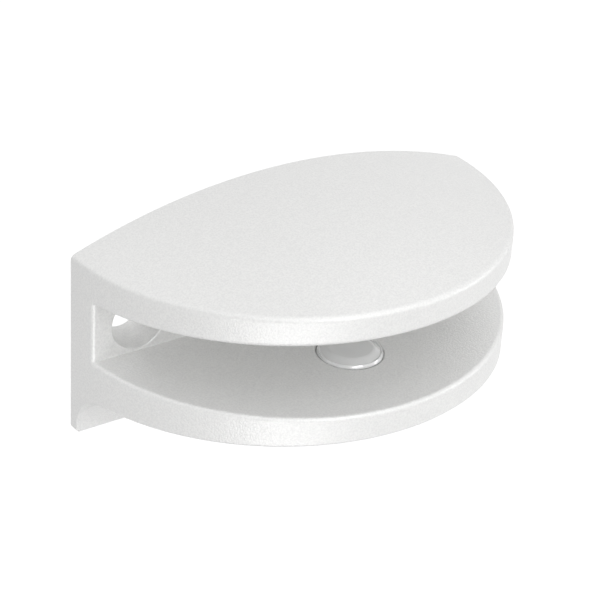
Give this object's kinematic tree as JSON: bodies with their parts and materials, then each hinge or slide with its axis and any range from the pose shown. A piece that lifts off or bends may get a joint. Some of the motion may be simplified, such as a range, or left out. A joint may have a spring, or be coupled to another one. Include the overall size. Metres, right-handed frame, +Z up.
{
  "type": "glass shelf clip",
  "caption": "Half-round wall clip that grips the edge of a glass shelf in a slot, with a domed upper jaw and a clear-padded clamp screw below.",
  "frame": {"origin": "on the wall plane, midway between the two wall-screw holes and at the middle of the slot's height", "axes": "+X along the wall, +Y into the wall (the clip stands out towards -Y), +Z up"},
  "size_m": [0.0674, 0.0344, 0.0333],
  "materials": {
    "casting": "fine-grained pale silver lacquer on a zinc die casting",
    "screw_steel": "bright zinc-plated steel",
    "clear_plastic": "clear soft plastic"
  },
  "bodies": {
    "clip": {"clip_body": "casting"},
    "pad": {"clear_pad": "clear_plastic"},
    "screw": {"clamp_screw": "screw_steel"}
  },
  "joints": [
    {"name": "pad_lift", "type": "slide", "parent": "clip", "child": "pad", "axis": [0, 0, 1], "range_m": [0, 0.004]},
    {"name": "screw_turn", "type": "hinge", "parent": "pad", "child": "screw", "pos_m": [0, -0.0195, 0], "axis": [0, 0, 1], "range_deg": [0, 1440]}
  ],
  "couplings": [
    {"joint": "screw_turn", "follows": "pad_lift", "rad_per_m": 6283.2}
  ]
}
